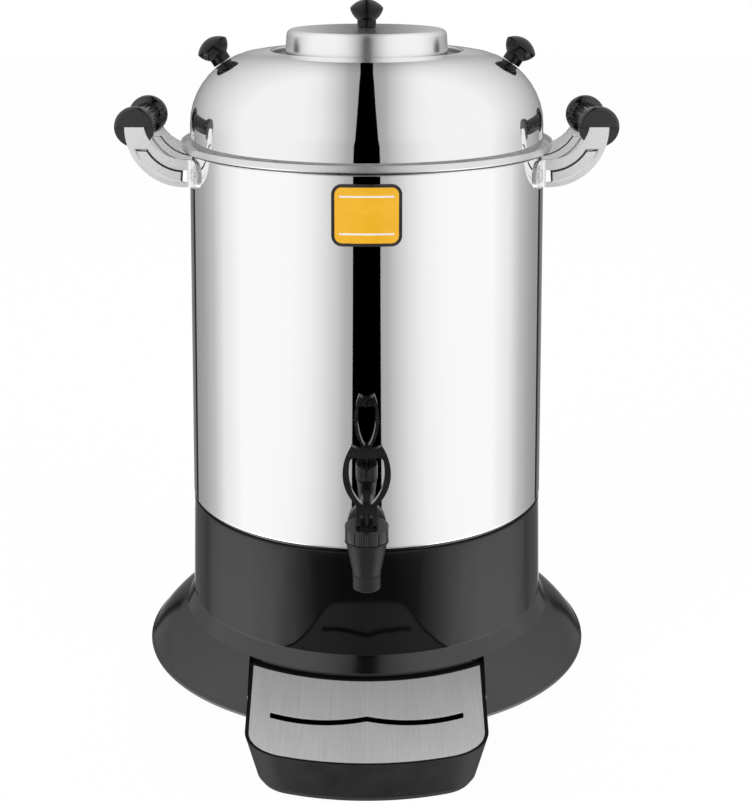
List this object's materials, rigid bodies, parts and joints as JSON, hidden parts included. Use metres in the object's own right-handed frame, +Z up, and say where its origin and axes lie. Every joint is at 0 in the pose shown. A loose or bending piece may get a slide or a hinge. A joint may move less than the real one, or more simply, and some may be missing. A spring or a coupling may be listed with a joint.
{
  "type": "milk dispenser",
  "caption": "Heated milk dispenser urn: polished steel body and dome lid on a black flared base, with a loop-lever tap, side handles and a slide-out drip tray.",
  "frame": {"origin": "on the urn's axis, in the plane of the table under its feet", "axes": "+Z up along the urn's axis; -Y towards the front, where the tap is; +X to the viewer's right"},
  "size_m": [0.4166, 0.4745, 0.559],
  "materials": {
    "polished_steel": "mirror-polished stainless steel",
    "satin_steel": "brushed stainless steel",
    "zinc_steel": "bright zinc plated",
    "gloss_black": "glossy black moulding",
    "matt_black": "fine matt black moulding",
    "black_rubber": "matt",
    "pale_silicone": "soft translucent",
    "cast_aluminium": "as cast",
    "element_sheath": "oxidised sheath",
    "amber_lens": "clear tinted",
    "amber_plate": "gloss enamel"
  },
  "bodies": {
    "urn": {"base_skirt": "gloss_black", "base_plate": "satin_steel", "base_plate_screws": "zinc_steel", "rubber_feet": "black_rubber", "foot_screws": "zinc_steel", "outer_shell": "polished_steel", "inner_tank": "satin_steel", "heat_spreader": "cast_aluminium", "heating_element": "element_sheath", "limit_thermostat": "matt_black", "tie_rods": "zinc_steel", "tie_rod_nuts": "zinc_steel", "thermostat": "matt_black", "thermostat_nut": "zinc_steel", "pilot_lamp": "amber_lens", "cord_gland": "matt_black", "handle_arm_left_front": "polished_steel", "handle_arm_left_rear": "polished_steel", "handle_arm_right_front": "polished_steel", "handle_arm_right_rear": "polished_steel", "handle_grip_left": "gloss_black", "handle_grip_right": "gloss_black", "handle_rivets": "polished_steel", "tap_body": "gloss_black", "tap_collar": "gloss_black", "tap_outer_gasket": "pale_silicone", "tap_spacer": "zinc_steel", "tap_inner_gasket": "pale_silicone", "tap_lock_nut": "zinc_steel", "tap_bonnet": "gloss_black", "front_plate": "amber_plate"},
    "dial": {"thermostat_knob": "gloss_black", "thermostat_spindle": "zinc_steel"},
    "dome": {"dome_lid": "polished_steel", "dome_knob_left": "gloss_black", "dome_knob_right": "gloss_black", "dome_knob_screws": "zinc_steel"},
    "filler": {"filler_lid": "polished_steel", "filler_knob": "gloss_black", "filler_knob_screw": "zinc_steel"},
    "stem": {"tap_stem": "matt_black", "tap_seat_cup": "pale_silicone"},
    "lever": {"tap_lever": "gloss_black", "tap_lever_pin": "zinc_steel"},
    "tray": {"drip_tray": "matt_black"},
    "cover": {"tray_cover": "satin_steel"}
  },
  "joints": [
    {"name": "dome_lift", "type": "slide", "parent": "urn", "child": "dome", "axis": [0, 0, 1], "range_m": [0, 0.15]},
    {"name": "filler_lift", "type": "slide", "parent": "dome", "child": "filler", "axis": [0, 0, 1], "range_m": [0, 0.08]},
    {"name": "stem_lift", "type": "slide", "parent": "urn", "child": "stem", "axis": [0, 0, 1], "range_m": [0, 0.00349], "stiffness_N_per_m": 1500, "springref_m": -0.002, "deforming": ["tap_seat_cup"]},
    {"name": "lever_pull", "type": "hinge", "parent": "stem", "child": "lever", "pos_m": [0, -0.217, 0.1891], "axis": [1, 0, 0], "range_deg": [0, 40]},
    {"name": "tray_slide", "type": "slide", "parent": "urn", "child": "tray", "axis": [0, -1, 0], "range_m": [0, 0.16]},
    {"name": "cover_lift", "type": "slide", "parent": "tray", "child": "cover", "axis": [0, 0, 1], "range_m": [0, 0.04]},
    {"name": "dial_turn", "type": "hinge", "parent": "urn", "child": "dial", "pos_m": [0, 0.15, 0.095], "axis": [0, 1, 0], "range_deg": [0, 270]}
  ],
  "couplings": [
    {"joint": "lever_pull", "follows": "stem_lift", "rad_per_m": 200}
  ]
}
